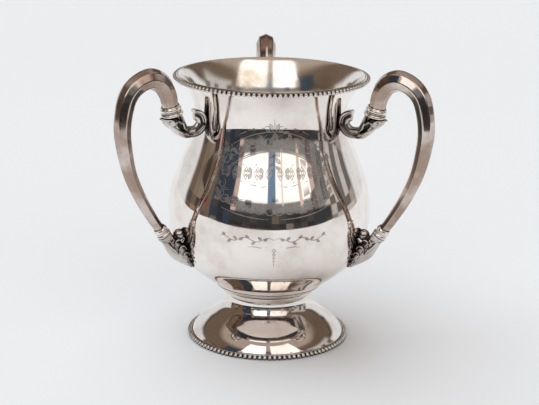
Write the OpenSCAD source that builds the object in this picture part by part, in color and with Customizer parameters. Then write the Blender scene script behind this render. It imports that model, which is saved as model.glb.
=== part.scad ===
// Three-handled loving cup on a spun foot, with beaded rim and beaded foot.
// Millimetres, +Z up. The origin is on the cup's axis, in the plane it stands on.

/* [Bowl] */
// Height of the lip above the table
cup_height = 203; // [180:1:245]
// Outside radius of the bowl's sheet at the lip
lip_r = 70; // [62:0.5:84]
// Outside radius at the narrowest part of the neck
neck_r = 56.5; // [50:0.5:60]
// Height of the narrowest part of the neck
neck_z = 174.5; // [168:0.5:181]
// Largest outside radius of the belly
belly_r = 76.6; // [70:0.1:92]
// Height of the widest part of the belly
belly_z = 100.5; // [94:0.5:107]
// Radius of the bowl's flat floor
floor_r = 32.5; // [29:0.5:34]
// Thickness of the spun sheet
sheet_t = 1.4; // [1:0.1:2]

/* [Foot] */
// Outside radius of the foot's sheet at the table
foot_r = 58.5; // [50:0.5:72]
// Height of the foot
foot_h = 34; // [28:0.5:41]
// Radius of the foot's neck, under the stem ring
foot_neck_r = 32; // [28:0.5:33]
// Height of the collar's floor between foot and bowl
stem_ring_h = 3; // [2.5:0.5:5]
// Outside radius of the collar's reeded edge
stem_ring_r = 41.3; // [39:0.1:43]

/* [Bead wire] */
// Diameter of one bead
bead_d = 3.4; // [2.6:0.1:4]
// Gap between two neighbouring beads
bead_gap = 0.25; // [0.1:0.05:0.6]
// Thickness of the strip that carries the beads
bead_strip_t = 1; // [0.8:0.1:1.4]

/* [Handles] */
// Distance from the cup's axis to the arm's centre line at its widest
handle_reach = 124; // [114:1:145]
// Height of the arm's centre line at the top of its bend
handle_top_z = 208.5; // [202:0.5:216]
// Half the arm's width at the top of the bend, corner to corner
arm_big_r = 7.7; // [6.6:0.1:8.6]
// Half the arm's width at its upper end
arm_top_r = 6.3; // [5.4:0.1:7]
// Half the arm's width at its lower end
arm_low_r = 3.8; // [3.2:0.1:4.6]
// Thickness of the stamped arm shells
arm_t = 0.9; // [0.7:0.1:1.2]
// Height of one ferrule along the arm
ferrule_h = 7.5; // [6:0.5:9]
// Gap between an arm and the ferrule around it
ferrule_gap = 0.1; // [0.05:0.05:0.2]

/* [Brackets] */
// Width of the upper scroll across the handle's plane
scroll_w = 7; // [6:0.5:10]
// Outside radius of the upper scroll
scroll_r = 9.9; // [9:0.1:11]
// Radius of the round knob on the lower bracket
knob_r = 4.4; // [3.8:0.1:5]
// Width of the lower bracket where it spreads on the belly
leaf_w = 13; // [9:0.5:16]

/* [Hidden] */
$fn = 96;

// Directions of the three handles, evenly spaced, one at the rear
rear_dir = 90;
left_dir = 210;
right_dir = 330;

// Colours
silver = "gainsboro";
dull_silver = "tan";
dark_silver = "darkgray";

// Heights of the stack
floor_z = foot_h + stem_ring_h;
reed_r = 0.9;
stem_seat_w = 4;
bead_z = bead_d / 2;
rim_bead_z = cup_height - bead_d / 2;
foot_top_w = 7;

// How far the beads stand off the strip behind them, and how far it is lower than they are
bead_stand_off = 0.1;
strip_inset = 0.3;

// Steps between two points of a curve, and sides of the scroll's section
curve_steps = 2;
arm_steps = 3;
scroll_sides = 16;

// A smooth curve through the given points, with the given steps between two of them
function at(p, i) = p[max(0, min(len(p) - 1, i))];
function blend(a, b, c, d, t) =
    0.5 * (2 * b + (c - a) * t + (2 * a - 5 * b + 4 * c - d) * t * t
    + (3 * b - a - 3 * c + d) * t * t * t);
function smooth(p, steps) = [
    for (i = [0 : len(p) - 2]) for (k = [0 : steps - 1])
        blend(at(p, i - 1), at(p, i), at(p, i + 1), at(p, i + 2), k / steps),
    p[len(p) - 1]
];

// The same line moved sideways by a distance, to the left of its direction
function across(v) = [-v[1], v[0]] / norm(v);
function beside(p, d) = [
    for (i = [0 : len(p) - 1]) p[i] + d * across(at(p, i + 1) - at(p, i - 1))
];
function backwards(p) = [for (i = [len(p) - 1 : -1 : 0]) p[i]];
function share(a, b, t) = a + (b - a) * t;

// Bowl, outside line from the floor's edge to the lip
bowl_line = smooth([
    [floor_r, floor_z],
    [share(floor_r, belly_r, 0.168), share(floor_z, belly_z, 0.079)],
    [share(floor_r, belly_r, 0.315), share(floor_z, belly_z, 0.157)],
    [share(floor_r, belly_r, 0.492), share(floor_z, belly_z, 0.252)],
    [share(floor_r, belly_r, 0.68), share(floor_z, belly_z, 0.362)],
    [share(floor_r, belly_r, 0.837), share(floor_z, belly_z, 0.488)],
    [share(floor_r, belly_r, 0.925), share(floor_z, belly_z, 0.63)],
    [share(floor_r, belly_r, 0.972), share(floor_z, belly_z, 0.79)],
    [belly_r, belly_z],
    [share(belly_r, neck_r, 0.04), share(belly_z, neck_z, 0.14)],
    [share(belly_r, neck_r, 0.165), share(belly_z, neck_z, 0.29)],
    [share(belly_r, neck_r, 0.385), share(belly_z, neck_z, 0.453)],
    [share(belly_r, neck_r, 0.63), share(belly_z, neck_z, 0.615)],
    [share(belly_r, neck_r, 0.845), share(belly_z, neck_z, 0.777)],
    [share(belly_r, neck_r, 0.962), share(belly_z, neck_z, 0.899)],
    [neck_r, neck_z],
    [share(neck_r, lip_r, 0.06), share(neck_z, cup_height, 0.2)],
    [share(neck_r, lip_r, 0.25), share(neck_z, cup_height, 0.44)],
    [share(neck_r, lip_r, 0.52), share(neck_z, cup_height, 0.69)],
    [lip_r, cup_height]
], curve_steps);

// Foot, outside line from its neck to the top of its straight edge
foot_edge_h = bead_d;
foot_line = smooth([
    [foot_neck_r, foot_h],
    [share(foot_neck_r, foot_r, 0.005), share(foot_h, foot_edge_h, 0.11)],
    [share(foot_neck_r, foot_r, 0.05), share(foot_h, foot_edge_h, 0.22)],
    [share(foot_neck_r, foot_r, 0.12), share(foot_h, foot_edge_h, 0.314)],
    [share(foot_neck_r, foot_r, 0.234), share(foot_h, foot_edge_h, 0.405)],
    [share(foot_neck_r, foot_r, 0.385), share(foot_h, foot_edge_h, 0.503)],
    [share(foot_neck_r, foot_r, 0.558), share(foot_h, foot_edge_h, 0.608)],
    [share(foot_neck_r, foot_r, 0.717), share(foot_h, foot_edge_h, 0.716)],
    [share(foot_neck_r, foot_r, 0.849), share(foot_h, foot_edge_h, 0.824)],
    [share(foot_neck_r, foot_r, 0.947), share(foot_h, foot_edge_h, 0.928)],
    [foot_r, foot_edge_h]
], curve_steps);

// Handle, centre line in the plane of one handle: [distance from the axis, height]
upper_seat = [neck_r + 27.5, neck_z + 6];
upper_tilt = 14;
lower_seat = [belly_r + 14.4, belly_z - 8.3];
lower_tilt = 35;
arm_wide_z = share(lower_seat[1], handle_top_z, 0.73);
function along(seat, tilt, d) = seat + d * [sin(tilt), cos(tilt)];
arm_line = smooth([
    upper_seat,
    along(upper_seat, upper_tilt, ferrule_h),
    [share(upper_seat[0], handle_reach, 0.1), share(upper_seat[1], handle_top_z, 0.58)],
    [share(upper_seat[0], handle_reach, 0.23), share(upper_seat[1], handle_top_z, 0.87)],
    [share(upper_seat[0], handle_reach, 0.45), handle_top_z],
    [share(upper_seat[0], handle_reach, 0.72), share(upper_seat[1], handle_top_z, 0.86)],
    [share(upper_seat[0], handle_reach, 0.91), share(upper_seat[1], handle_top_z, 0.52)],
    [handle_reach, arm_wide_z],
    [share(handle_reach, lower_seat[0], 0.04), share(arm_wide_z, lower_seat[1], 0.2)],
    [share(handle_reach, lower_seat[0], 0.18), share(arm_wide_z, lower_seat[1], 0.43)],
    [share(handle_reach, lower_seat[0], 0.43), share(arm_wide_z, lower_seat[1], 0.65)],
    [share(handle_reach, lower_seat[0], 0.7), share(arm_wide_z, lower_seat[1], 0.83)],
    along(lower_seat, lower_tilt, ferrule_h),
    lower_seat
], arm_steps);
arm_radii = smooth([
    arm_top_r, arm_top_r, share(arm_top_r, arm_big_r, 0.4), share(arm_top_r, arm_big_r, 0.8),
    arm_big_r, share(arm_big_r, arm_low_r, 0.05), share(arm_big_r, arm_low_r, 0.15),
    share(arm_big_r, arm_low_r, 0.28), share(arm_big_r, arm_low_r, 0.43),
    share(arm_big_r, arm_low_r, 0.65), share(arm_big_r, arm_low_r, 0.8),
    share(arm_big_r, arm_low_r, 0.92), arm_low_r, arm_low_r
], arm_steps);

// Ferrules
upper_bead_r = 1.4;
lower_bead_r = 1.1;
ferrule_wall = 0.6;
top_ring_share = 0.9;

// Upper bracket: a scroll that leaves the ferrule, curls round and meets the neck
scroll_end_r = 3.6;
scroll_half_t = 4.2;
scroll_bite = 0.4;
scroll_end_tilt = 95;
scroll_centre = [neck_r - scroll_bite + scroll_r, neck_z - 1];
scroll_root_r = arm_top_r + ferrule_gap + ferrule_wall + upper_bead_r / 2;
function on_scroll(x, z) = scroll_centre + (scroll_r - scroll_half_t) * [x, z];
scroll_line = smooth([
    upper_seat,
    along(upper_seat, upper_tilt + 14, -5.5),
    on_scroll(1.68, -0.88),
    on_scroll(0.85, -1.12),
    on_scroll(-0.2, -1.06),
    on_scroll(-0.96, -0.35),
    on_scroll(-0.85, 0.55),
    on_scroll(-0.2, 1.02),
    on_scroll(0.1, 1.04)
], arm_steps);
scroll_thick = smooth([
    scroll_root_r, 5.6, 4.8, 4.3, scroll_half_t, scroll_half_t, scroll_half_t,
    scroll_half_t, scroll_end_r
], arm_steps);
scroll_half_w = smooth([
    scroll_root_r, scroll_root_r * 0.8, scroll_w / 2, scroll_w / 2, scroll_w / 2,
    scroll_w / 2, scroll_w / 2, scroll_w / 2, scroll_w / 2
], arm_steps);

// Lower bracket: a wedge from the ferrule to the belly, with a knob on top
leaf_root_r = arm_low_r + ferrule_gap + ferrule_wall + lower_bead_r / 2;
leaf_top = [belly_r - 3.1, belly_z - 10.5];
leaf_mid = [belly_r - 4.1, belly_z - 21.5];
leaf_tip = [belly_r - 10.1, belly_z - 36];
leaf_top_half_w = leaf_w * 0.35;
leaf_tip_r = 1.2;
leaf_edge_r = 2;
leaf_root_t = 1;
knob_centre = [belly_r + 2.1, belly_z - 9.8];

// Sections of the scroll and of one half of an arm, and a body swept through such sections
// along a line in the XZ plane. The end sections stand square to the given tilts.
function section(r, w, sides) = [
    for (k = [0 : sides - 1]) [r * cos(k * 360 / sides), w * sin(k * 360 / sides)]
];
function half_section(r, t, side) = [
    for (k = [0 : 4]) r * [cos(k * 45), side * sin(k * 45)],
    for (k = [4 : -1 : 0]) (r - t / cos(22.5)) * [cos(k * 45), side * sin(k * 45)]
];
function side_of(line, i, first, last) =
    i == 0 ? [cos(first), -sin(first)]
    : i == len(line) - 1 ? [cos(last), -sin(last)]
    : let (v = line[i + 1] - line[i - 1]) [v[1], -v[0]] / norm(v);
module sweep(line, sections, first, last) {
    m = len(sections[0]);
    n = len(line);
    points = [
        for (i = [0 : n - 1]) let (s = side_of(line, i, first, last)) for (q = sections[i])
            [line[i][0] + q[0] * s[0], q[1], line[i][1] + q[0] * s[1]]
    ];
    walls = [
        for (i = [0 : n - 2]) for (k = [0 : m - 1])
            [i * m + k, (i + 1) * m + k, (i + 1) * m + (k + 1) % m, i * m + (k + 1) % m]
    ];
    ends = [
        [for (k = [0 : m - 1]) k],
        [for (k = [m - 1 : -1 : 0]) (n - 1) * m + k]
    ];
    polyhedron(points, concat(walls, ends));
}

// Solid of revolution under an outside line
module round_body(line) {
    last = line[len(line) - 1];
    rotate_extrude() polygon(concat([[0, line[0][1]]], line, [[0, last[1]]]));
}

// A ring of beads on a flat strip that is soldered around an edge
module bead_wire(edge_r, z) {
    bead_ring_r = edge_r + bead_d / 2 + bead_stand_off;
    strip_h = bead_d - 2 * strip_inset;
    count = floor(2 * PI * bead_ring_r / (bead_d + bead_gap));
    rotate_extrude() translate([edge_r, z - strip_h / 2]) square([bead_strip_t, strip_h]);
    for (i = [0 : count - 1])
        rotate([0, 0, i * 360 / count]) translate([bead_ring_r, 0, z])
            sphere(d = bead_d, $fn = 16);
}

module bowl() {
    flat = [[0, floor_z], [floor_r, floor_z]];
    inside = [for (p = beside(bowl_line, sheet_t)) if (p[1] > floor_z + 2 * sheet_t) p];
    lip = [for (p = inside) [p[0], min(p[1], cup_height)]];
    hollow = concat(backwards(lip), [[floor_r - sheet_t, floor_z + sheet_t], [0, floor_z + sheet_t]]);
    color(silver) rotate_extrude() polygon(concat([flat[0]], bowl_line, hollow));
}

module rim_beading() {
    color(dark_silver) bead_wire(lip_r, rim_bead_z);
}

// A collar that hides the joint between the foot and the bowl, with a reeded upper edge
module stem_ring() {
    edge = [stem_ring_r - reed_r, floor_z + 5.6];
    step = [1.3, 1.15];
    color(silver) difference() {
        rotate_extrude() union() {
            polygon([
                [foot_neck_r - stem_seat_w, foot_h], [foot_neck_r, foot_h],
                [share(foot_neck_r, edge[0], 0.2), share(foot_h, edge[1], 0.14)],
                [share(foot_neck_r, edge[0], 0.42), share(foot_h, edge[1], 0.36)],
                [share(foot_neck_r, edge[0], 0.66), share(foot_h, edge[1], 0.6)],
                edge, [foot_neck_r - stem_seat_w, edge[1]]
            ]);
            translate(edge) circle(r = reed_r, $fn = 24);
            translate(edge - step) circle(r = reed_r, $fn = 24);
        }
        round_body(bowl_line);
    }
}

module foot() {
    top_in = foot_neck_r - foot_top_w;
    inside = beside(foot_line, -sheet_t);
    color(silver) rotate_extrude() polygon(concat(
        [[top_in, foot_h]], foot_line, [[foot_r, 0], [foot_r - sheet_t, 0]],
        [for (i = [len(foot_line) - 1 : -1 : 1]) inside[i]],
        [[foot_neck_r - sheet_t, foot_h - sheet_t], [top_in, foot_h - sheet_t]]
    ));
}

module foot_beading() {
    color(dark_silver) bead_wire(foot_r, bead_z);
}

// One stamped half of an octagonal arm; side is 1 or -1
module handle_half(side) {
    sections = [for (r = arm_radii) half_section(r, arm_t, side)];
    color(dull_silver)
        if (side > 0) sweep(arm_line, sections, upper_tilt, lower_tilt + 180);
        else mirror([0, 1, 0]) handle_half(1);
}

// Socket around one end of an arm, with a ring at its foot and a smaller one near its mouth
module ferrule(seat, tilt, arm_r, ring_r) {
    bore_r = arm_r + ferrule_gap;
    color(dark_silver) translate([seat[0], 0, seat[1]]) rotate([0, tilt, 0])
        rotate_extrude() difference() {
            union() {
                square([bore_r + ferrule_wall, ferrule_h]);
                translate([bore_r + ferrule_wall, ring_r]) circle(r = ring_r, $fn = 32);
                translate([bore_r + ferrule_wall / 2, ferrule_h - ring_r])
                    circle(r = ring_r * top_ring_share, $fn = 32);
            }
            translate([-1, -1]) square([bore_r + 1, ferrule_h + 2]);
        }
}

module upper_ferrule() {
    ferrule(upper_seat, upper_tilt, arm_top_r, upper_bead_r);
}

module lower_ferrule() {
    ferrule(lower_seat, lower_tilt, arm_low_r, lower_bead_r);
}

// Cast scroll from the ferrule to the neck, cut to the bowl's surface
module scroll_bracket() {
    sections = [
        for (i = [0 : len(scroll_line) - 1])
            section(scroll_thick[i], scroll_half_w[i], scroll_sides)
    ];
    color(dark_silver) difference() {
        sweep(scroll_line, sections, upper_tilt + 180, scroll_end_tilt);
        round_body(bowl_line);
    }
}

// Ball at a point of the handle's plane, moved sideways by y
module ball(p, y, r) {
    translate([p[0], y, p[1]]) sphere(r = r, $fn = 24);
}

// Cast leaf from the ferrule to the belly with a knob on top, cut to the bowl's surface
module leaf_bracket() {
    color(dark_silver) difference() {
        union() {
            hull() {
                translate([lower_seat[0], 0, lower_seat[1]]) rotate([0, lower_tilt, 0])
                    translate([0, 0, -leaf_root_t]) cylinder(r = leaf_root_r, h = leaf_root_t, $fn = 32);
                ball(leaf_tip, 0, leaf_tip_r);
                for (side = [-1, 1]) {
                    ball(leaf_top, side * (leaf_top_half_w - leaf_edge_r), leaf_edge_r);
                    ball(leaf_mid, side * (leaf_w / 2 - leaf_edge_r), leaf_edge_r);
                }
            }
            ball(knob_centre, 0, knob_r);
        }
        round_body(bowl_line);
    }
}

module on_left() { rotate([0, 0, left_dir]) children(); }
module on_right() { rotate([0, 0, right_dir]) children(); }
module on_rear() { rotate([0, 0, rear_dir]) children(); }

module left_handle_half_a() { on_left() handle_half(1); }
module left_handle_half_b() { on_left() handle_half(-1); }
module left_upper_ferrule() { on_left() upper_ferrule(); }
module left_scroll_bracket() { on_left() scroll_bracket(); }
module left_lower_ferrule() { on_left() lower_ferrule(); }
module left_leaf_bracket() { on_left() leaf_bracket(); }

module right_handle_half_a() { on_right() handle_half(1); }
module right_handle_half_b() { on_right() handle_half(-1); }
module right_upper_ferrule() { on_right() upper_ferrule(); }
module right_scroll_bracket() { on_right() scroll_bracket(); }
module right_lower_ferrule() { on_right() lower_ferrule(); }
module right_leaf_bracket() { on_right() leaf_bracket(); }

module rear_handle_half_a() { on_rear() handle_half(1); }
module rear_handle_half_b() { on_rear() handle_half(-1); }
module rear_upper_ferrule() { on_rear() upper_ferrule(); }
module rear_scroll_bracket() { on_rear() scroll_bracket(); }
module rear_lower_ferrule() { on_rear() lower_ferrule(); }
module rear_leaf_bracket() { on_rear() leaf_bracket(); }

bowl();
rim_beading();
stem_ring();
foot();
foot_beading();
left_handle_half_a();
left_handle_half_b();
left_upper_ferrule();
left_scroll_bracket();
left_lower_ferrule();
left_leaf_bracket();
right_handle_half_a();
right_handle_half_b();
right_upper_ferrule();
right_scroll_bracket();
right_lower_ferrule();
right_leaf_bracket();
rear_handle_half_a();
rear_handle_half_b();
rear_upper_ferrule();
rear_scroll_bracket();
rear_lower_ferrule();
rear_leaf_bracket();
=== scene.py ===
import math

import bmesh
import bpy
from mathutils import Matrix, Vector
from mathutils.bvhtree import BVHTree


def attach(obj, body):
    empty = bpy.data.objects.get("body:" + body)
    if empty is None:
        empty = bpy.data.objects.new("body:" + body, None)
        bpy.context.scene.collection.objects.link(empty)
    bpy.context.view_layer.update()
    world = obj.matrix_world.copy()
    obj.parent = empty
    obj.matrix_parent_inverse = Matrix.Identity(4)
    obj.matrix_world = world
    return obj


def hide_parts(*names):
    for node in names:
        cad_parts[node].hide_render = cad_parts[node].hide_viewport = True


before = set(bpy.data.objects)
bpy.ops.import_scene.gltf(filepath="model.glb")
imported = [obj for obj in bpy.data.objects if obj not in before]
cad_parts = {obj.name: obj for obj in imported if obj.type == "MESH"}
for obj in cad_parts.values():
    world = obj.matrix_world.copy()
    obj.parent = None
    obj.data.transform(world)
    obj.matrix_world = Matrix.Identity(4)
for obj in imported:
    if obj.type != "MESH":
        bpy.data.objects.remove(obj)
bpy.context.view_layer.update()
mm = 0.001


# ---- Foot -------------------------------------------------------------------
# Sheet metal spun to an ogee: an upright neck, a short hollow and a full round
# shoulder, with its edge turned down. Plated with silver and buffed bright.

foot_edge_r = 58.5
foot_line = [
    (32.0, 34.0), (31.9, 31.0), (32.9, 28.1), (34.2, 25.4), (36.3, 23.2), (38.6, 21.3),
    (41.0, 19.5), (43.4, 17.7), (45.9, 16.1), (48.3, 14.3), (50.7, 12.4), (52.9, 10.4),
    (55.0, 8.3), (56.9, 5.9), (58.4, 3.5), (foot_edge_r, 1.6), (foot_edge_r, 0.0),
]
sheet_gauge = 1.4 * mm
same_spot = 0.001 * mm


def turned(line, steps=96, closed=False):
    """A line of (radius, height) in mm turned round the cup's axis."""
    bm = bmesh.new()
    verts = [bm.verts.new((r * mm, 0, z * mm)) for r, z in line]
    ends = verts[1:] + verts[:1] if closed else verts[1:]
    edges = [bm.edges.new(pair) for pair in zip(verts, ends)]
    bmesh.ops.spin(bm, geom=verts + edges, cent=(0, 0, 0), axis=(0, 0, 1), angle=math.tau,
                   steps=steps, use_merge=True, use_duplicate=False)
    bmesh.ops.remove_doubles(bm, verts=bm.verts, dist=same_spot)
    bmesh.ops.recalc_face_normals(bm, faces=bm.faces)
    widest = max(bm.faces, key=lambda f: f.calc_center_median().xy.length)
    if widest.normal.xy.dot(widest.calc_center_median().xy) < 0:
        bmesh.ops.reverse_faces(bm, faces=bm.faces)
    return bm


def made(name, bm):
    """A finished piece, with smooth faces, that rides on the cup."""
    for face in bm.faces:
        face.smooth = True
    mesh = bpy.data.meshes.new(name)
    bm.to_mesh(mesh)
    bm.free()
    piece = bpy.data.objects.new(name, mesh)
    bpy.context.scene.collection.objects.link(piece)
    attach(piece, "root")
    return piece


def thickened(piece, gauge):
    """Gives a sheet its thickness on the inside."""
    sheet = piece.modifiers.new("gauge", "SOLIDIFY")
    sheet.thickness = gauge
    sheet.offset = -1


def rounded(piece, levels=2):
    soft = piece.modifiers.new("soft", "SUBSURF")
    soft.levels = soft.render_levels = levels


def node(tree, kind, inputs, **settings):
    """A shader node; each input is set to a value or joined to another node's output."""
    new = tree.nodes.new("ShaderNode" + kind)
    for key, value in settings.items():
        setattr(new, key, value)
    for key, value in inputs.items():
        if isinstance(value, bpy.types.NodeSocket):
            tree.links.new(value, new.inputs[key])
        else:
            new.inputs[key].default_value = value
    return new


def plate(name, bright, tarnish, film, dull, hollow_tarnish_and_shade=0.0, reach=2.2, bloom=0.16, scratch=1.0):
    """Silver plate in a bright and a tarnished tone. film: how much tarnish lies on it;
    dull: how dull it has worn; hollow_tarnish_and_shade: how dark its recesses are painted,
    for their tarnish and as painted shade; reach: how wide a hollow that takes in, in mm;
    bloom: how much the film dulls it; scratch: how deep the polishing marks are."""
    material = bpy.data.materials.new(name)
    material.use_nodes = True
    tree = material.node_tree
    shader = tree.nodes["Principled BSDF"]
    shader.inputs["Metallic"].default_value = 1.0
    place = node(tree, "TexCoord", {}).outputs["Object"]

    # tarnish film in clouds, with freckles
    clouds = node(tree, "TexNoise", {"Vector": place, "Scale": 38.0, "Detail": 7.0,
                                     "Roughness": 0.62}).outputs["Fac"]
    cover = node(tree, "MapRange", {
        "Value": clouds, "From Min": 0.62 - film * 0.45, "From Max": 0.86 - film * 0.30,
    }, interpolation_type="SMOOTHSTEP").outputs["Result"]
    freckles = node(tree, "TexNoise", {"Vector": place, "Scale": 620.0, "Detail": 3.0})
    spots = node(tree, "MapRange", {"Value": freckles.outputs["Fac"], "From Min": 0.60,
                                    "From Max": 0.74, "To Max": 0.35}).outputs["Result"]
    tarnished = node(tree, "Math", {0: cover, 1: spots}, operation="MAXIMUM").outputs[0]

    # polishing marks: two sets of fine, long, crossing streaks
    streaks = []
    for turn, stretch in ((0.35, (2600, 190, 260)), (-0.6, (230, 210, 2900))):
        along = node(tree, "Mapping", {"Vector": place, "Scale": stretch,
                                       "Rotation": (turn, turn * 0.7, turn * 1.9)})
        streaks.append(node(tree, "TexNoise", {
            "Vector": along.outputs["Vector"], "Scale": 1.0, "Detail": 4.0, "Roughness": 0.7,
        }).outputs["Fac"])
    marks = node(tree, "Math", {0: streaks[0], 1: streaks[1]}, operation="MULTIPLY").outputs[0]
    hairs = node(tree, "MapRange", {"Value": marks, "From Min": 0.32, "From Max": 0.40,
                                    "To Max": 0.7}).outputs["Result"]

    worn = node(tree, "Math", {0: tarnished, 1: hairs}, operation="MAXIMUM").outputs[0]
    tone = node(tree, "Mix", {"Factor": worn, "A": (*bright, 1), "B": (*tarnish, 1)},
                data_type="RGBA").outputs["Result"]
    # Recesses, joints and gaps are painted dark by how shut in each spot is: partly the tarnish
    # that gathers there, partly painted shade.
    if hollow_tarnish_and_shade:
        shut_in = node(tree, "AmbientOcclusion", {"Distance": reach * mm}, samples=8)
        tarnish_and_shade_mask = node(tree, "MapRange", {
            "Value": shut_in.outputs["AO"], "From Min": 0.55, "From Max": 0.96,
            "To Min": hollow_tarnish_and_shade, "To Max": 0.0,
        }, interpolation_type="SMOOTHSTEP").outputs["Result"]
        tone = node(tree, "Mix", {"Factor": tarnish_and_shade_mask, "A": tone, "B": (0.012, 0.010, 0.009, 1)},
                    data_type="RGBA").outputs["Result"]
    tree.links.new(tone, shader.inputs["Base Color"])

    matt = node(tree, "MapRange", {"Value": marks, "From Min": 0.16, "From Max": 0.42,
                                   "To Min": dull, "To Max": dull * 2.2}).outputs["Result"]
    haze = node(tree, "Math", {0: tarnished, 1: bloom, 2: matt}, operation="MULTIPLY_ADD")
    tree.links.new(haze.outputs[0], shader.inputs["Roughness"])
    bump = node(tree, "Bump", {"Strength": 0.10 * scratch, "Distance": 0.02 * mm,
                               "Height": marks})
    tree.links.new(bump.outputs["Normal"], shader.inputs["Normal"])
    return material


def finish_as(piece, material, slot, *nodes):
    """Plates a piece and hides the CAD nodes it stands for."""
    piece.data.materials.clear()
    piece.data.materials.append(material)
    if nodes:
        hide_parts(*nodes)


foot = made("foot_sheet", turned(foot_line))
thickened(foot, sheet_gauge)
rounded(foot)
foot_silver = plate("silver_foot", (0.90, 0.845, 0.80), (0.70, 0.61, 0.55), film=0.36,
                    dull=0.03, bloom=0.08, scratch=0.25)
finish_as(foot, foot_silver, "foot", "foot")


# ---- Bead wire --------------------------------------------------------------
# Drawn wire with a row of pearls on a narrow band, bent to a ring and soldered
# round an edge: one round the foot and one under the lip. The gaps between the
# pearls are painted dark: tarnish that has settled there, and painted shade.

pearl = 3.4
pearl_gap = 0.25
pearl_lift = 0.05
lip_r = 70.0
foot_beads_up = 1.7
rim_beads_up = 201.3


def bead_wire(name, edge, height):
    """Ring of pearls on its band, around an edge of that radius, in mm."""
    lower_half = [(-0.3, -1.55), (0.65, -1.5), (0.95, -1.2), (0.6, -0.9)]
    band = lower_half + [(0.5, 0)] + [(out, -up) for out, up in reversed(lower_half)]
    bm = turned([(edge + out, height + up) for out, up in band], steps=192, closed=True)
    ring = edge + pearl / 2 + pearl_lift
    count = math.floor(math.tau * ring / (pearl + pearl_gap))
    seat = Matrix.Translation((ring * mm, 0, height * mm)) @ Matrix.Rotation(math.pi / 2, 4, "Y")
    first = bmesh.ops.create_uvsphere(bm, u_segments=12, v_segments=7, radius=pearl / 2 * mm,
                                      matrix=seat)["verts"]
    geom = list(set(first + [e for v in first for e in v.link_edges]
                    + [f for v in first for f in v.link_faces]))
    bmesh.ops.spin(bm, geom=geom, cent=(0, 0, 0), axis=(0, 0, 1), steps=count - 1,
                   angle=math.tau * (count - 1) / count, use_merge=False, use_duplicate=True)
    return made(name, bm)


bead_silver = plate("silver_beads", (0.90, 0.86, 0.81), (0.58, 0.50, 0.44), film=0.35,
                    dull=0.10, hollow_tarnish_and_shade=0.97)
foot_beads = bead_wire("foot_bead_wire", foot_edge_r, foot_beads_up)
finish_as(foot_beads, bead_silver, "bead_wire", "foot_beading")
rim_beads = bead_wire("rim_bead_wire", lip_r, rim_beads_up)
finish_as(rim_beads, bead_silver, "bead_wire", "rim_beading")


# ---- Stem collar -------------------------------------------------------------
# A turned and plated collar that covers the solder joint between the foot's neck
# and the underside of the bowl, with two fine reeds along its upper edge.

collar_line = [
    (28.2, 34.05), (31.8, 34.05), (32.4, 34.1), (33.7, 35.1), (35.5, 37.1), (37.2, 39.0),
    (37.7, 39.7), (37.9, 40.2), (38.1, 40.5), (38.7, 40.4), (39.5, 40.6), (40.0, 41.2),
    (39.9, 41.7), (39.8, 41.8), (40.2, 41.7), (41.0, 41.8), (41.4, 42.5), (41.2, 43.2),
    (40.5, 43.4), (39.8, 42.6), (36.5, 40.0), (33.2, 37.7), (28.2, 37.0),
]
collar = made("stem_collar", turned(collar_line, closed=True))
rounded(collar)
# its grooves and joints are painted dark by how shut in they are: partly tarnish, partly painted
# shade
collar_silver = plate("silver_collar", (0.84, 0.79, 0.75), (0.62, 0.52, 0.46), film=0.45,
                      dull=0.05, hollow_tarnish_and_shade=0.8)
finish_as(collar, collar_silver, "stem_ring", "stem_ring")


# ---- Bowl -------------------------------------------------------------------
# One sheet spun to a full belly, a drawn-in neck and a wide flared lip, on a
# flat floor. Polished outside; inside it has gone warm and hazy with use.

bowl_line = [
    (0.0, 37.0), (12.0, 37.0), (24.0, 37.0), (29.5, 37.0), (32.9, 37.2), (39.2, 41.4),
    (45.5, 46.3), (51.8, 51.1), (58.1, 56.0), (64.0, 61.3), (69.4, 67.3), (72.7, 74.6),
    (74.8, 82.3), (75.8, 90.2), (76.7, 98.2), (76.6, 106.2), (75.3, 114.0), (73.5, 121.8),
    (70.7, 129.3), (67.8, 136.7), (64.7, 144.0), (61.8, 151.5), (59.2, 159.0), (57.2, 166.7),
    (56.0, 174.7), (57.8, 182.5), (61.0, 189.9), (65.1, 196.7), (67.8, 200.6), (69.9, 203.0),
]
bowl = made("bowl_sheet", turned(bowl_line))
thickened(bowl, sheet_gauge)
rounded(bowl)
bowl.modifiers["gauge"].material_offset = 1
bowl_silver = plate("silver_bowl", (0.96, 0.905, 0.855), (0.77, 0.69, 0.63), film=0.50,
                    dull=0.02, bloom=0.07, scratch=0.25)
inside_silver = plate("silver_inside", (0.97, 0.93, 0.87), (0.74, 0.64, 0.52), film=0.42,
                      dull=0.085, bloom=0.12, scratch=0.4)

# the underside is painted in a deeper tone towards the foot: partly tarnish, partly painted
# shade and painted reflection of the foot and its shadow
polish = bowl_silver.node_tree
place = node(polish, "TexCoord", {}).outputs["Object"]
level = node(polish, "SeparateXYZ", {"Vector": place}).outputs["Z"]
underside_shade = node(polish, "MapRange", {"Value": level, "From Min": 66 * mm, "From Max": 46 * mm,
                                     "To Max": 0.85}, interpolation_type="SMOOTHSTEP")
bowl_tone = polish.nodes["Principled BSDF"].inputs["Base Color"]
underside_shaded = node(polish, "Mix", {
    "Factor": underside_shade.outputs["Result"], "A": bowl_tone.links[0].from_socket,
    "B": (0.66, 0.565, 0.52, 1),
}, data_type="RGBA")
polish.links.new(underside_shaded.outputs["Result"], bowl_tone)
finish_as(bowl, bowl_silver, "bowl", "bowl")
bowl.data.materials.append(inside_silver)


# ---- Engraving ---------------------------------------------------------------
# Hand-cut lines on the front of the bowl: an arched band of scrolls and leaves
# under a finial, a straight band of lozenges, a sagging row of scrolls, sprays
# at the sides, and a wave of leaves with a drop. Very thin dull lines on the polish.

line_stand_off = 0.04
line_wide = 0.75
belly_arc_r = 68.0
graver_start = 120
bowl_skin = BVHTree.FromObject(bowl, bpy.context.evaluated_depsgraph_get())


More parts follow.
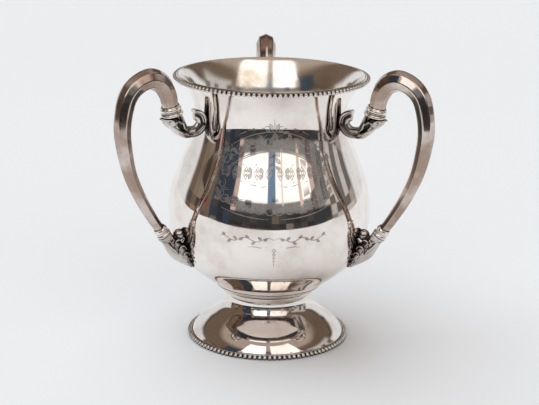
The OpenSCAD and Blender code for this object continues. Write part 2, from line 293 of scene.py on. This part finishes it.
def on_bowl(across, up):
    """The place on the bowl's outside that far from the front's middle line, in mm."""
    turn = across / belly_arc_r
    outwards = Vector((math.sin(turn), -math.cos(turn), 0))
    start = outwards * graver_start * mm + Vector((0, 0, up * mm))
    spot, normal, _, _ = bowl_skin.ray_cast(start, -outwards)
    return spot + normal * line_stand_off * mm


def cut_line(bm, points):
    """A line cut with a graver: thin at both ends and broad in the middle."""
    last = None
    for i, (across, up) in enumerate(points):
        ahead = Vector(points[min(i + 1, len(points) - 1)]) - Vector(points[max(i - 1, 0)])
        side = Vector((-ahead.y, ahead.x)).normalized()
        half = line_wide / 2 * (0.35 + 0.65 * math.sin(math.pi * i / (len(points) - 1)))
        pair = [bm.verts.new(on_bowl(across + k * half * side.x, up + k * half * side.y))
                for k in (-1, 1)]
        if last:
            bm.faces.new((last[0], pair[0], pair[1], last[1]))
        last = pair


def arc_of(middle, radius, start, end, steps):
    """Points on an arc, with its angles in degrees."""
    turns = [math.radians(start + (end - start) * i / steps) for i in range(steps + 1)]
    return [(middle[0] + radius * math.cos(t), middle[1] + radius * math.sin(t)) for t in turns]


def curl_in(across, up, size, start, sweep, steps=16):
    """A scroll that winds in to its eye, with its angles in degrees."""
    points = []
    for i in range(steps + 1):
        t = i / steps
        turn = math.radians(start + sweep * t)
        radius = size * (1 - 0.8 * t)
        points.append((across + radius * math.cos(turn), up + radius * math.sin(turn)))
    return points


def leaf_of(across, up, size, lean):
    """A narrow leaf: a vein between two bowed lines."""
    tip = (across + size * math.sin(lean), up + size * math.cos(lean))
    cuts = [[(across, up), ((across + tip[0]) / 2, (up + tip[1]) / 2), tip]]
    for side in (-1, 1):
        bow = (side * size * 0.22 * math.cos(lean), -side * size * 0.22 * math.sin(lean))
        cuts.append([(across + (tip[0] - across) * t + bow[0] * math.sin(math.pi * t),
                      up + (tip[1] - up) * t + bow[1] * math.sin(math.pi * t))
                     for t in (0, 0.2, 0.4, 0.6, 0.8, 1)])
    return cuts


def lozenge(across, up, half_wide, half_high):
    """Four bowed cuts that meet in four points."""
    tips = [(across + half_wide, up), (across, up + half_high),
            (across - half_wide, up), (across, up - half_high)]
    return [[a, ((a[0] + b[0]) / 2 * 0.86 + across * 0.14,
                 (a[1] + b[1]) / 2 * 0.86 + up * 0.14), b]
            for a, b in zip(tips, tips[1:] + tips[:1])]


def mirrored(side, *points):
    """Points on the right half of the front, or their mirror on the left half."""
    return [(side * across, up) for across, up in points]


cuts = []

# arched band: two rules below and one above a row of scrolls and leaves
arch_middle = (0.0, 105.0)
arch_row_r = 60.8
arch_step = 5.6
for radius in (53.6, 54.8, 67.0):
    cuts.append(arc_of(arch_middle, radius, 143, 37, 60))
for k in range(-8, 9):
    lean = math.radians(k * arch_step)
    across = arch_middle[0] + arch_row_r * math.sin(lean)
    up = arch_middle[1] + arch_row_r * math.cos(lean)
    flip = 1 if k % 2 else -1
    cuts.append(curl_in(across, up, 4.2, 90 * flip - k * arch_step, 470 * flip))
    cuts += leaf_of(across + 2.8, up - flip * 1.5, 5.0, lean + flip * 0.7)

for side in (-1, 1):
    # finial over the arch, and leaves down the middle
    cuts.append(mirrored(side, (4, 172.5), (10, 174.6), (18, 174.0), (26, 171.0), (31, 168.5)))
    cuts.append(curl_in(side * 6.0, 173.6, 3.0, 90 - side * 90, side * 430))
    for up, size, turn in ((173, 6.0, 0.6), (160, 6.0, 2.6), (154, 5.4, 2.4), (148.6, 4.2, 2.3)):
        cuts += leaf_of(side * 1.0, up, size, side * turn)

    # straight band: two rules, with lozenges and pairs of leaves between them
    for rule_up in (149.0, 137.6):
        cuts.append(mirrored(side, (3, rule_up), (14, rule_up + 0.1), (24, rule_up),
                             (34, rule_up + 0.1)))
    cuts.append(mirrored(side, (3, 135.8), (8, 134.6), (14, 135.2), (18, 136.4)))
    band_up = 143.3
    for k in range(4):
        across = side * (4.2 + 8.6 * k)
        cuts += lozenge(across, band_up, 2.6, 4.6) + lozenge(across, band_up, 1.2, 2.2)
        for lean in (0.5, 2.64):
            cuts += leaf_of(across + side * 4.3, band_up, 4.6, side * lean)

    # sagging row of scrolls and leaves, the largest at its ends, over a long rule
    for k in range(6):
        across = 3.4 + 6.2 * k
        sag = 0.0062 * across ** 2
        size = 5.4 if k == 5 else 4.4
        cuts.append(curl_in(side * across, 118.6 + sag, size, 90 + side * 20,
                            side * 430 * (-1) ** k))
        cuts += leaf_of(side * (across + 2.6), 116.6 + sag, 5.6, side * (0.25 + 0.1 * k))
    cuts.append(arc_of((0.0, 219.0), 106.5, 270 + side * 2, 270 + side * 20, 30))
    cuts.append(curl_in(side * 35.0, 130.0, 7.0, 60 + side * 60, side * 300))

    # sprays down both sides
    for up, size, turn in ((158, 6.0, 0.5), (150, 6.6, 1.1), (142, 6.2, 0.4), (134, 6.6, 1.0),
                           (127, 5.6, 0.5)):
        cuts += leaf_of(side * 40.0, up, size, side * turn)
        cuts.append(curl_in(side * 39.0, up + 1.0, 3.6, 90, side * 380))

    # one long wave with leaves on both sides of it, and a flourish under it
    wave = [(side * a, 97.6 + 1.5 * math.sin(a * 0.42)) for a in range(37)]
    cuts.append(wave)
    for k, (across, up) in enumerate(wave[4:34:4]):
        cuts += leaf_of(across, up, 3.4, side * (0.7 if k % 2 else 2.3))
    cuts.append(mirrored(side, (4, 92.6), (9, 91.6), (13, 92.4), (17, 91.8)))

# drop of lozenges, and the tips of the finial and the drop
for up, half in ((89.6, 1.7), (86.4, 1.3), (83.6, 1.0), (81.2, 0.7)):
    cuts += lozenge(0.0, up, half * 0.8, half)
cuts.append([(0, 182), (0.1, 178), (0, 174)])
cuts.append([(0, 80.2), (0.1, 78.8), (0, 77.2)])

bm = bmesh.new()
for points in cuts:
    cut_line(bm, points)
engraving = made("front_engraving", bm)
engraved_silver = plate("silver_cut", (0.54, 0.51, 0.48), (0.30, 0.27, 0.25), film=0.40,
                        dull=0.28, scratch=2.0)
finish_as(engraving, engraved_silver, "bowl")


# ---- Handle arms ------------------------------------------------------------
# Each arm is eight-sided, hollow and tapered, stamped in two halves that are
# soldered along its spines. The plate has browned in clouds all over it.

directions = {"left": 210, "right": 330, "rear": 90}
upper_seat = (84.0, 180.5)
lower_seat = (91.0, 92.2)
arm_stations = [
    (*upper_seat, 6.3), (85.8, 187.8, 6.3), (88.0, 196.7, 6.86), (93.2, 204.9, 7.42),
    (102.0, 208.5, 7.7), (112.8, 204.6, 7.5), (120.4, 195.1, 7.12), (124.0, 177.1, 6.6),
    (122.7, 160.1, 6.0), (118.1, 140.6, 5.2), (109.8, 121.9, 4.6), (100.9, 106.6, 4.1),
    (95.3, 98.3, 3.8), (*lower_seat, 3.8),
]
arm_wall = 0.9 * mm
corner_cut = 0.13


def eased(stations, steps):
    """More stations between the given ones, on a smooth curve through them."""
    stations = [Vector(s) for s in stations]
    ends = [stations[0]] + stations + [stations[-1]]
    line = []
    for a, b, c, d in zip(ends, ends[1:], ends[2:], ends[3:]):
        for k in range(steps):
            t = k / steps
            line.append(0.5 * (2 * b + (c - a) * t + (2 * a - 5 * b + 4 * c - d) * t * t
                               + (3 * b - a - 3 * c + d) * t ** 3))
    return line + [stations[-1]]


def places_along(line):
    """Places for rings on a line of (out, up, half width[, half depth]) in mm: each ring's
    X is in the handle's plane, across the line, and its Z runs along the line."""
    places = []
    for i, station in enumerate(line):
        ahead = line[min(i + 1, len(line) - 1)] - line[max(i - 1, 0)]
        ahead = Vector((ahead[0], 0, ahead[1])).normalized()
        across = Vector((ahead.z, 0, -ahead.x))
        turn = Matrix((across, Vector((0, 1, 0)), ahead)).transposed().to_4x4()
        wide, deep = station[2] * mm, station[-1] * mm
        places.append(Matrix.Translation((station[0] * mm, 0, station[1] * mm)) @ turn
                      @ Matrix.Diagonal((wide, deep, 1, 1)))
    return places


def drawn(bm, ring, places):
    """Draws a ring of edges from the first place through the others, and returns the last."""
    for last, new in zip(places, places[1:]):
        grown = bmesh.ops.extrude_edge_only(bm, edges=ring)["geom"]
        verts = [g for g in grown if isinstance(g, bmesh.types.BMVert)]
        ring = [g for g in grown if isinstance(g, bmesh.types.BMEdge)
                and all(v in verts for v in g.verts)]
        bmesh.ops.transform(bm, matrix=new @ last.inverted(), verts=verts)
    return ring


def turned_to(bm, angle):
    """Turns a shape from the X axis to a handle's place, in degrees."""
    bmesh.ops.rotate(bm, verts=bm.verts, cent=(0, 0, 0),
                     matrix=Matrix.Rotation(math.radians(angle), 3, "Z"))


def arm_half(name, side, angle):
    bm = bmesh.new()
    octagon = bmesh.ops.create_circle(bm, segments=8, radius=1.0)["verts"]
    bmesh.ops.bevel(bm, geom=octagon, affect="VERTICES", offset=corner_cut, segments=2,
                    profile=0.5, material=-1)
    for vert in bm.verts:
        # a fine ridge stands along each of the eight corners
        if abs(math.remainder(math.atan2(vert.co.y, vert.co.x), math.tau / 8)) < 0.01:
            vert.co *= 1.0 / vert.co.length
    bmesh.ops.bisect_plane(bm, geom=bm.verts[:] + bm.edges[:], plane_co=(0, 0, 0),
                           plane_no=(0, side, 0), dist=1e-5, clear_inner=True)
    places = places_along(eased(arm_stations, 6))
    bmesh.ops.transform(bm, matrix=places[0], verts=bm.verts)
    drawn(bm, bm.edges[:], places)
    bmesh.ops.recalc_face_normals(bm, faces=bm.faces)
    outermost = max(bm.faces, key=lambda f: f.calc_center_median().x)
    if outermost.normal.x < 0:
        bmesh.ops.reverse_faces(bm, faces=bm.faces)
    turned_to(bm, angle)
    piece = made(name, bm)
    thickened(piece, arm_wall)
    flats = piece.modifiers.new("flats", "WEIGHTED_NORMAL")
    flats.weight = 75
    flats.keep_sharp = True
    return piece


arm_silver = plate("silver_arm", (0.77, 0.69, 0.635), (0.40, 0.295, 0.24), film=0.72,
                   dull=0.05, bloom=0.10, scratch=0.5)
for where, angle in directions.items():
    for letter, side in (("a", 1), ("b", -1)):
        half = arm_half(f"{where}_arm_shell_{letter}", side, angle)
        finish_as(half, arm_silver, "handle_arm", f"{where}_handle_half_{letter}")


# ---- Ferrules ---------------------------------------------------------------
# Sockets with two turned rings each, one at the top and one at the foot of an
# arm. The arm's end stands in them and is soldered.

upper_ferrule = [
    (6.4, 0.1), (7.3, 0.0), (8.3, 0.6), (8.45, 1.5), (8.1, 2.4), (7.2, 2.85), (7.0, 3.1),
    (7.0, 3.7), (7.3, 4.0), (7.9, 4.6), (8.0, 5.5), (7.7, 6.3), (7.0, 6.8), (6.8, 7.1),
    (6.7, 7.5), (6.4, 7.5),
]
lower_ferrule = [
    (3.95, 0.1), (4.7, 0.0), (5.5, 0.5), (5.6, 1.2), (5.3, 1.9), (4.6, 2.3), (4.5, 2.6),
    (4.5, 3.6), (4.7, 4.0), (5.15, 4.6), (5.2, 5.3), (5.0, 6.1), (4.5, 6.6), (4.4, 7.0),
    (4.3, 7.5), (3.95, 7.5),
]
upper_tilt = 14
lower_tilt = 35
# the grooves between the rings and the joints are painted dark by how shut in they are: partly
# tarnish, partly painted shade
ferrule_silver = plate("silver_ferrule", (0.88, 0.83, 0.78), (0.56, 0.46, 0.39), film=0.40,
                       dull=0.05, hollow_tarnish_and_shade=0.95)
for where, angle in directions.items():
    for end, line, (out, up), tilt in (("upper", upper_ferrule, upper_seat, upper_tilt),
                                       ("lower", lower_ferrule, lower_seat, lower_tilt)):
        socket = made(f"{where}_{end}_socket", turned(line, steps=48, closed=True))
        socket.data.transform(
            Matrix.Rotation(math.radians(angle), 4, "Z")
            @ Matrix.Translation((out * mm, 0, up * mm))
            @ Matrix.Rotation(math.radians(tilt), 4, "Y"))
        rounded(socket, 1)
        finish_as(socket, ferrule_silver, "ferrule", f"{where}_{end}_ferrule")


# ---- Upper brackets ---------------------------------------------------------
# Cast scrolls, one under each upper ferrule: a leaf below the ferrule runs into a
# fat hook that curls up against the neck, with a broad band round its outside.
# Plated and chased; its recesses and the inside of the curl are painted dark, partly for tarnish
# and partly as painted shade and painted reflection.

neck_r = 56.5
scroll_r = 9.9
scroll_bite = 0.4
scroll_half_thick = 4.2
curl_middle = (neck_r - scroll_bite + scroll_r, 173.5)
curl_line_r = scroll_r - scroll_half_thick
casting_grain = 0.28 * mm


def on_curl(out, up, half, width):
    """A station that far from the curl's middle, in radii of its middle line."""
    return (curl_middle[0] + curl_line_r * out, curl_middle[1] + curl_line_r * up, half, width)


scroll_stations = [
    (*upper_seat, 7.3, 7.3), (80.4, 174.9, 6.2, 6.4), on_curl(1.68, -0.88, 4.9, 4.8),
    on_curl(0.85, -1.12, 4.3, 3.7), on_curl(-0.2, -1.06, 4.2, 3.5),
    on_curl(-0.96, -0.35, 4.2, 3.5), on_curl(-0.85, 0.55, 4.2, 3.5),
    on_curl(-0.2, 1.02, 4.2, 3.5), on_curl(0.1, 1.04, 3.6, 3.2),
]


def scroll_section(bm, place):
    """Closed end of the scroll: a broad band along the outside, and a roll inside it."""
    corners = [(-1, 0.0), (-1, 0.55), (-0.95, 0.84), (-0.84, 0.98), (-0.54, 1.0), (-0.44, 0.93),
               (-0.36, 0.56), (-0.22, 0.46), (0, 0.54), (0.4, 0.64), (0.75, 0.54), (0.96, 0.28),
               (1, 0.0)]
    whole = corners + [(x, -y) for x, y in reversed(corners[1:-1])]
    verts = [bm.verts.new((x, y, 0)) for x, y in whole]
    ring = [bm.edges.new(pair) for pair in zip(verts, verts[1:] + verts[:1])]
    bmesh.ops.contextual_create(bm, geom=ring)
    bmesh.ops.transform(bm, matrix=place, verts=verts)
    return ring


def round_section(bm, sides, place):
    """Closed end of a round bar."""
    verts = bmesh.ops.create_circle(bm, segments=sides, radius=1.0, matrix=place)["verts"]
    ring = list(dict.fromkeys(e for v in verts for e in v.link_edges))
    bmesh.ops.contextual_create(bm, geom=ring)
    return ring


def bar(bm, ring, places):
    """Draws a closed end from the first place through the others, and closes the far end."""
    bmesh.ops.contextual_create(bm, geom=drawn(bm, ring, places))


def rib(bm, points, radii):
    """A round ridge through points in mm, with its own radius at each."""
    line = [Vector(p) for p in points]
    places = []
    for i, point in enumerate(line):
        ahead = (line[min(i + 1, len(line) - 1)] - line[max(i - 1, 0)]).normalized()
        turn = ahead.to_track_quat("Z", "Y").to_matrix().to_4x4()
        places.append(Matrix.Translation(point * mm) @ turn
                      @ Matrix.Diagonal((radii[i] * mm, radii[i] * mm, 1, 1)))
    bar(bm, round_section(bm, 8, places[0]), places)


def cast(name, bm):
    """Melts loose shapes into one soft casting and returns its mesh."""
    bmesh.ops.recalc_face_normals(bm, faces=bm.faces)
    mesh = bpy.data.meshes.new(name)
    bm.to_mesh(mesh)
    bm.free()
    pattern = bpy.data.objects.new(name, mesh)
    bpy.context.scene.collection.objects.link(pattern)
    melt = pattern.modifiers.new("melt", "REMESH")
    melt.mode = "VOXEL"
    melt.voxel_size = casting_grain
    ease = pattern.modifiers.new("ease", "SMOOTH")
    ease.factor = 0.5
    ease.iterations = 3
    bpy.context.view_layer.update()
    seen = pattern.evaluated_get(bpy.context.evaluated_depsgraph_get())
    done = bpy.data.meshes.new_from_object(seen)
    bpy.data.objects.remove(pattern)
    return done


def placed(name, mesh, angle):
    """A copy of a casting, turned to a handle's place."""
    bm = bmesh.new()
    bm.from_mesh(mesh)
    turned_to(bm, angle)
    return made(name, bm)


bm = bmesh.new()
places = places_along(eased(scroll_stations, 6))
bar(bm, scroll_section(bm, places[0]), places)
for side in (1, -1):
    # the leaf's two ribs that run into the curl, a hooked one, and one along its tip
    rib(bm, [(91.6, side * 1.4, 178.4), (88.6, side * 4.6, 175.2), (84.0, side * 6.2, 171.6),
             (78.4, side * 5.2, 168.0), (72.6, side * 3.6, 165.8)], (0.9, 1.3, 1.4, 1.1, 0.6))
    rib(bm, [(79.4, side * 5.8, 179.6), (78.6, side * 6.2, 175.6), (76.8, side * 5.2, 171.6),
             (74.0, side * 3.8, 168.8)], (0.8, 1.1, 1.1, 0.7))
    rib(bm, [(79.6, side * 6.2, 175.0), (82.4, side * 7.0, 177.2), (85.0, side * 7.2, 176.4),
             (84.4, side * 6.9, 174.0), (81.4, side * 6.3, 171.0)], (0.7, 1.0, 1.1, 1.0, 0.6))
    rib(bm, [(93.4, side * 0.8, 178.6), (90.6, side * 3.6, 177.6), (87.6, side * 6.4, 178.2)],
        (0.7, 1.1, 0.8))
scroll_mesh = cast("scroll", bm)
# a deeper tone and a wide reach paint the castings dark inside the curls: partly tarnish, partly
# painted shade and painted reflection of the dark room
cast_silver = plate("silver_cast", (0.72, 0.665, 0.62), (0.36, 0.30, 0.26), film=0.45,
                    dull=0.05, hollow_tarnish_and_shade=0.97, reach=5.5)
for where, angle in directions.items():
    scroll = placed(f"{where}_scroll_casting", scroll_mesh, angle)
    finish_as(scroll, cast_silver, "bracket", f"{where}_scroll_bracket")


# ---- Lower brackets ---------------------------------------------------------
# Cast leaves, one under each lower ferrule: a wedge that lies along the belly,
# chased with nested scrolls, with a round knob in the corner above it.

leaf_stations = [
    (*lower_seat, 5.3, 5.3), (88.0, 88.2, 5.0, 4.8), (84.2, 83.8, 6.2, 4.8),
    (79.8, 78.6, 7.0, 5.2), (75.6, 73.6, 5.6, 5.6), (71.4, 69.0, 3.6, 4.6),
    (68.0, 65.4, 1.8, 2.8), (66.6, 64.0, 0.8, 1.4),
]
knob_r = 4.4
knob_middle = Vector((78.7, 0, 90.7))
curl_thick = 0.46
bm = bmesh.new()
places = places_along(eased(leaf_stations, 4))
bar(bm, round_section(bm, 24, places[0]), places)
bmesh.ops.create_uvsphere(bm, u_segments=24, v_segments=16, radius=knob_r * mm,
                          matrix=Matrix.Translation(knob_middle * mm))
for side in (1, -1):
    # nested scrolls that shrink towards the tip
    for out, up, size in ((81.8, 85.2, 3.0), (78.6, 80.2, 3.0), (75.6, 75.2, 2.7),
                          (72.8, 70.8, 2.2), (70.3, 67.2, 1.7)):
        stand_out = side * (6.3 - abs(out - 77) * 0.22)
        turns = [math.radians(a) for a in range(-70, 181, 25)]
        rib(bm, [(out + size * math.cos(t), stand_out, up + size * math.sin(t)) for t in turns],
            [curl_thick * (0.6 + 0.9 * math.sin(math.pi * (i + 0.5) / len(turns)))
             for i in range(len(turns))])
    # a long rib and a hooked one below the ferrule
    rib(bm, [(93.6, side * 2.0, 88.2), (89.4, side * 4.6, 85.2), (85.4, side * 5.6, 81.2),
             (82.0, side * 5.4, 77.0)], (0.9, 1.1, 0.9, 0.4))
    rib(bm, [(87.2, side * 4.6, 91.6), (85.8, side * 5.4, 88.4), (87.6, side * 5.4, 86.6),
             (89.2, side * 4.8, 88.4)], (0.7, 0.9, 0.8, 0.5))
leaf_mesh = cast("leaf", bm)
for where, angle in directions.items():
    leaf = placed(f"{where}_leaf_casting", leaf_mesh, angle)
    finish_as(leaf, cast_silver, "bracket", f"{where}_leaf_bracket")


# ---- Table, light and camera --------------------------------------------------
# The cup stands on a white table in front of a white backdrop and mirrors a dim
# room with tall windows.

white = bpy.data.materials.new("table_white")
white.use_nodes = True
paper = white.node_tree.nodes["Principled BSDF"]
paper.inputs["Roughness"].default_value = 0.9
paper.inputs["Specular IOR Level"].default_value = 0.1
fibre = node(white.node_tree, "TexNoise", {"Scale": 3.0})
shade = node(white.node_tree, "Mix", {
    "Factor": fibre.outputs["Fac"], "A": (0.80, 0.80, 0.805, 1), "B": (0.82, 0.82, 0.825, 1),
}, data_type="RGBA")
white.node_tree.links.new(shade.outputs["Result"], paper.inputs["Base Color"])

table_size = (4.0, 3.34)
table_middle = (0, 0.93, 0)
floor_size = (40.0, 40.0)
floor_drop = 0.6 * mm
for name, middle, size in (("table", table_middle, table_size),
                           ("floor", (0, 0, -floor_drop), floor_size)):
    bm = bmesh.new()
    bmesh.ops.create_grid(bm, x_segments=1, y_segments=1, size=0.5,
                          matrix=Matrix.Translation(middle) @ Matrix.Diagonal((*size, 1, 1)))
    mesh = bpy.data.meshes.new(name)
    bm.to_mesh(mesh)
    bm.free()
    sheet = bpy.data.objects.new(name, mesh)
    bpy.context.scene.collection.objects.link(sheet)
    sheet.data.materials.append(white)
    sheet.visible_glossy = name == "table"

world = bpy.data.worlds.new("room")
world.use_nodes = True
bpy.context.scene.world = world
room = world.node_tree
look = node(room, "SeparateXYZ", {"Vector": node(room, "TexCoord", {}).outputs["Generated"]})


def reckon(kind, *values):
    return node(room, "Math", dict(enumerate(values)), operation=kind).outputs[0]


def above(value, at, soft):
    """1 above an angle and 0 below it, with a soft edge, in degrees."""
    return node(room, "MapRange", {"Value": value, "From Min": at - soft, "From Max": at + soft},
                interpolation_type="SMOOTHSTEP").outputs["Result"]


def between(value, low, high, soft):
    return reckon("SUBTRACT", above(value, low, soft), above(value, high, soft))


forward = reckon("MULTIPLY", look.outputs["Y"], -1.0)
bearing = reckon("DEGREES", reckon("ARCTAN2", look.outputs["X"], forward))
height = reckon("DEGREES", reckon("ARCSINE", look.outputs["Z"]))
coats = [(1, 1, 1, 1)]


def paint(tone, mask, glow=1.0):
    """Lays a tone over the last coat, where the mask is."""
    coats.append(node(room, "Mix", {
        "Factor": mask, "A": coats[-1], "B": (*[c * glow for c in tone], 1),
    }, data_type="RGBA").outputs["Result"])


def pane(tone, left, right, low, high, soft=0.7, glow=1.0):
    """Paints a rectangle of the room, between bearings and heights in degrees."""
    paint(tone, reckon("MULTIPLY", between(bearing, left, right, soft),
                       between(height, low, high, soft)), glow)


# tan ceiling, brown walls, a pale wall on the right, and dark things below eye level
paint((0.40, 0.33, 0.28), above(height, -95, 1))
pane((0.15, 0.11, 0.08), -180, 180, -90, 46, 5)
pane((0.52, 0.50, 0.48), 64, 112, -90, 30, 4)
pane((0.23, 0.23, 0.235), -62, 64, 9, 23, 3)
pane((0.045, 0.047, 0.05), -72, 72, -90, 9, 2)
pane((0.04, 0.055, 0.08), -74, -48, -4, 40)
# two tall windows, with curtains and posts in front of them, and one red thing
pane((1.0, 0.99, 0.98), -46, -5, 21, 64, 1.2, glow=1.35)
pane((1.0, 0.965, 0.92), 4, 54, 21, 64, 1.2, glow=1.25)
pane((0.16, 0.25, 0.37), -5, 4.5, 21, 31, 0.8)
pane((0.58, 0.44, 0.39), -48, -42, 9, 34)
pane((0.72, 0.56, 0.50), 34, 38, 12, 34)
pane((0.82, 0.70, 0.68), 12, 14, 18, 34)
pane((0.58, 0.44, 0.39), 50, 56, 9, 34)
pane((0.45, 0.02, 0.05), -84, -80, 6, 13)

# a patchwork of dark and pale things near eye level, and the white backdrop behind
block_wide = 8.0
block_high = 7.5
blocks = node(room, "CombineXYZ", {"X": reckon("FLOOR", reckon("DIVIDE", bearing, block_wide)),
                                   "Y": reckon("FLOOR", reckon("DIVIDE", height, block_high))})
cells = node(room, "TexWhiteNoise", {"Vector": blocks.outputs["Vector"]}, noise_dimensions="2D")
chance = node(room, "SeparateColor", {"Color": cells.outputs["Color"]})
pale_blocks = reckon("MULTIPLY", above(chance.outputs["Red"], 0.72, 0.05),
                     between(height, -14, 17, 2))
paint((0.30, 0.255, 0.21), reckon("MULTIPLY", pale_blocks, 0.6))
dark_blocks = reckon("MULTIPLY", above(chance.outputs["Green"], 0.62, 0.05),
                     between(height, -10, 24, 2))
paint((0.03, 0.028, 0.03), reckon("MULTIPLY", dark_blocks, 0.75))
backdrop = reckon("ADD", above(bearing, 114, 3),
                  reckon("SUBTRACT", 1.0, above(bearing, -114, 3)))
paint((0.74, 0.75, 0.765), reckon("MULTIPLY", backdrop, between(height, -95, 19, 3)))
sky = room.nodes["Background"]
room.links.new(coats[-1], sky.inputs["Color"])

# seen straight, the room is plain white
plain = node(room, "Background", {"Color": (0.88, 0.885, 0.895, 1)})
choice = node(room, "MixShader", {
    "Fac": node(room, "LightPath", {}).outputs["Is Camera Ray"],
    1: sky.outputs["Background"], 2: plain.outputs["Background"],
})
room.links.new(choice.outputs[0], room.nodes["World Output"].inputs["Surface"])

lamp = bpy.data.lights.new("skylight", "SUN")
lamp.angle = math.radians(80)
lamp.energy = 2.35
lamp.color = (0.84, 0.93, 1.0)
skylight = bpy.data.objects.new("skylight", lamp)
skylight.matrix_world = Matrix.Rotation(-0.35, 4, "Y") @ Matrix.Rotation(-0.25, 4, "X")
skylight.visible_glossy = False
bpy.context.scene.collection.objects.link(skylight)

camera_away = 1.0858
camera_up = 0.41055
camera_round = math.radians(-2.8)
camera_down = math.radians(15.762)
camera_roll = math.radians(0.958)
lens = bpy.data.cameras.new("camera")
lens.sensor_width = 36
lens.lens = 99.27
camera = bpy.data.objects.new("camera", lens)
camera.matrix_world = (
    Matrix.Rotation(camera_round, 4, "Z") @ Matrix.Translation((0, -camera_away, camera_up))
    @ Matrix.Rotation(math.radians(90) - camera_down, 4, "X")
    @ Matrix.Rotation(camera_roll, 4, "Z"))
bpy.context.scene.collection.objects.link(camera)
bpy.context.scene.camera = camera
bpy.context.scene.view_settings.view_transform = "Standard"
